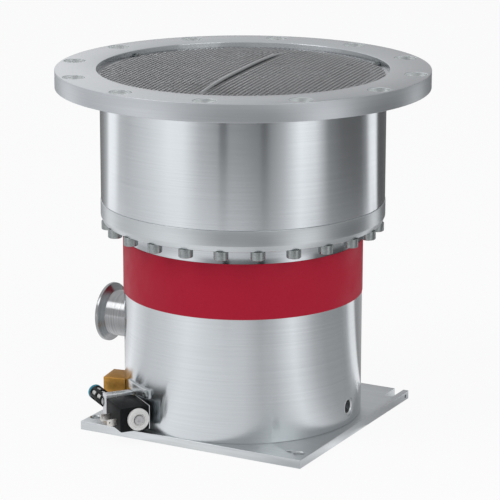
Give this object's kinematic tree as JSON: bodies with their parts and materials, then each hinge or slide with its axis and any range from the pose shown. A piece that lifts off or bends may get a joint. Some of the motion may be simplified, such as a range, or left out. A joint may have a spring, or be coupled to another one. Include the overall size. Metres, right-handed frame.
{
  "type": "turbomolecular pump",
  "caption": "Turbomolecular vacuum pump with a bolted round inlet flange and protective screen, clamp exhaust port, red band, square base plate and a vent valve at its side.",
  "frame": {"origin": "on the pump's axis at the underside of the base plate", "axes": "+Z along the rotor's axis out of the inlet, -X along the exhaust port's axis, +Y to the back, where the electrical connector is"},
  "size_m": [0.335, 0.335, 0.324],
  "materials": {
    "housing_aluminium": "turned and finely brushed",
    "plate_aluminium": "milled, finely brushed",
    "inner_aluminium": "machined, matt",
    "stainless": "turned, satin",
    "screw_steel": "zinc plated, satin",
    "screen_steel": "woven wire, matt",
    "red_band": "satin film, bare",
    "magnet_steel": "ground",
    "connector_metal": "dark anodised",
    "valve_metal": "nickel plated",
    "brass": "machined, satin",
    "coil_black": "moulded, satin",
    "nut_white": "moulded, satin",
    "cage_black": "moulded, satin",
    "element_white": "sintered, matt",
    "cap_blue": "moulded, glossy",
    "terminal_tin": "tin plated, satin"
  },
  "bodies": {
    "pump": {"base_plate": "plate_aluminium", "bottom_cover": "plate_aluminium", "lower_housing": "housing_aluminium", "upper_housing": "housing_aluminium", "side_port_bushing": "stainless", "touchdown_bearings": "magnet_steel", "joint_screws": "screw_steel", "label_band": "red_band", "screen_ring": "stainless", "inlet_screen": "screen_steel", "screen_rod": "stainless", "screen_clips": "screw_steel", "exhaust_port": "stainless", "drag_stator": "inner_aluminium", "spindle_housing": "inner_aluminium", "radial_magnets": "magnet_steel", "thrust_magnets": "magnet_steel", "motor_stator": "magnet_steel", "electrical_connector": "connector_metal", "stator_disc_1": "inner_aluminium", "stator_disc_2": "inner_aluminium", "valve_body": "valve_metal", "core_tube": "stainless", "valve_coil": "coil_black", "valve_nut": "nut_white", "valve_spring": "screw_steel", "coil_terminals": "terminal_tin", "muffler_cage": "cage_black", "muffler_element": "element_white", "muffler_cap": "cap_blue", "vent_nipple": "brass", "brass_block": "brass", "valve_bracket": "stainless", "bracket_screw": "screw_steel"},
    "rotor": {"turbine_rotor": "inner_aluminium", "drag_drum": "inner_aluminium", "rotor_shaft": "magnet_steel", "rotor_clamp_screw": "screw_steel"},
    "plunger": {"valve_plunger": "stainless"}
  },
  "joints": [
    {"name": "rotor_spin", "type": "hinge", "parent": "pump", "child": "rotor", "pos_m": [0, 0, 0.2], "axis": [0, 0, 1], "continuous": true},
    {"name": "plunger_slide", "type": "slide", "parent": "pump", "child": "plunger", "axis": [0.8, -0.6, 0], "range_m": [0, 0.0015], "stiffness_N_per_m": 400, "springref_m": -0.004}
  ]
}
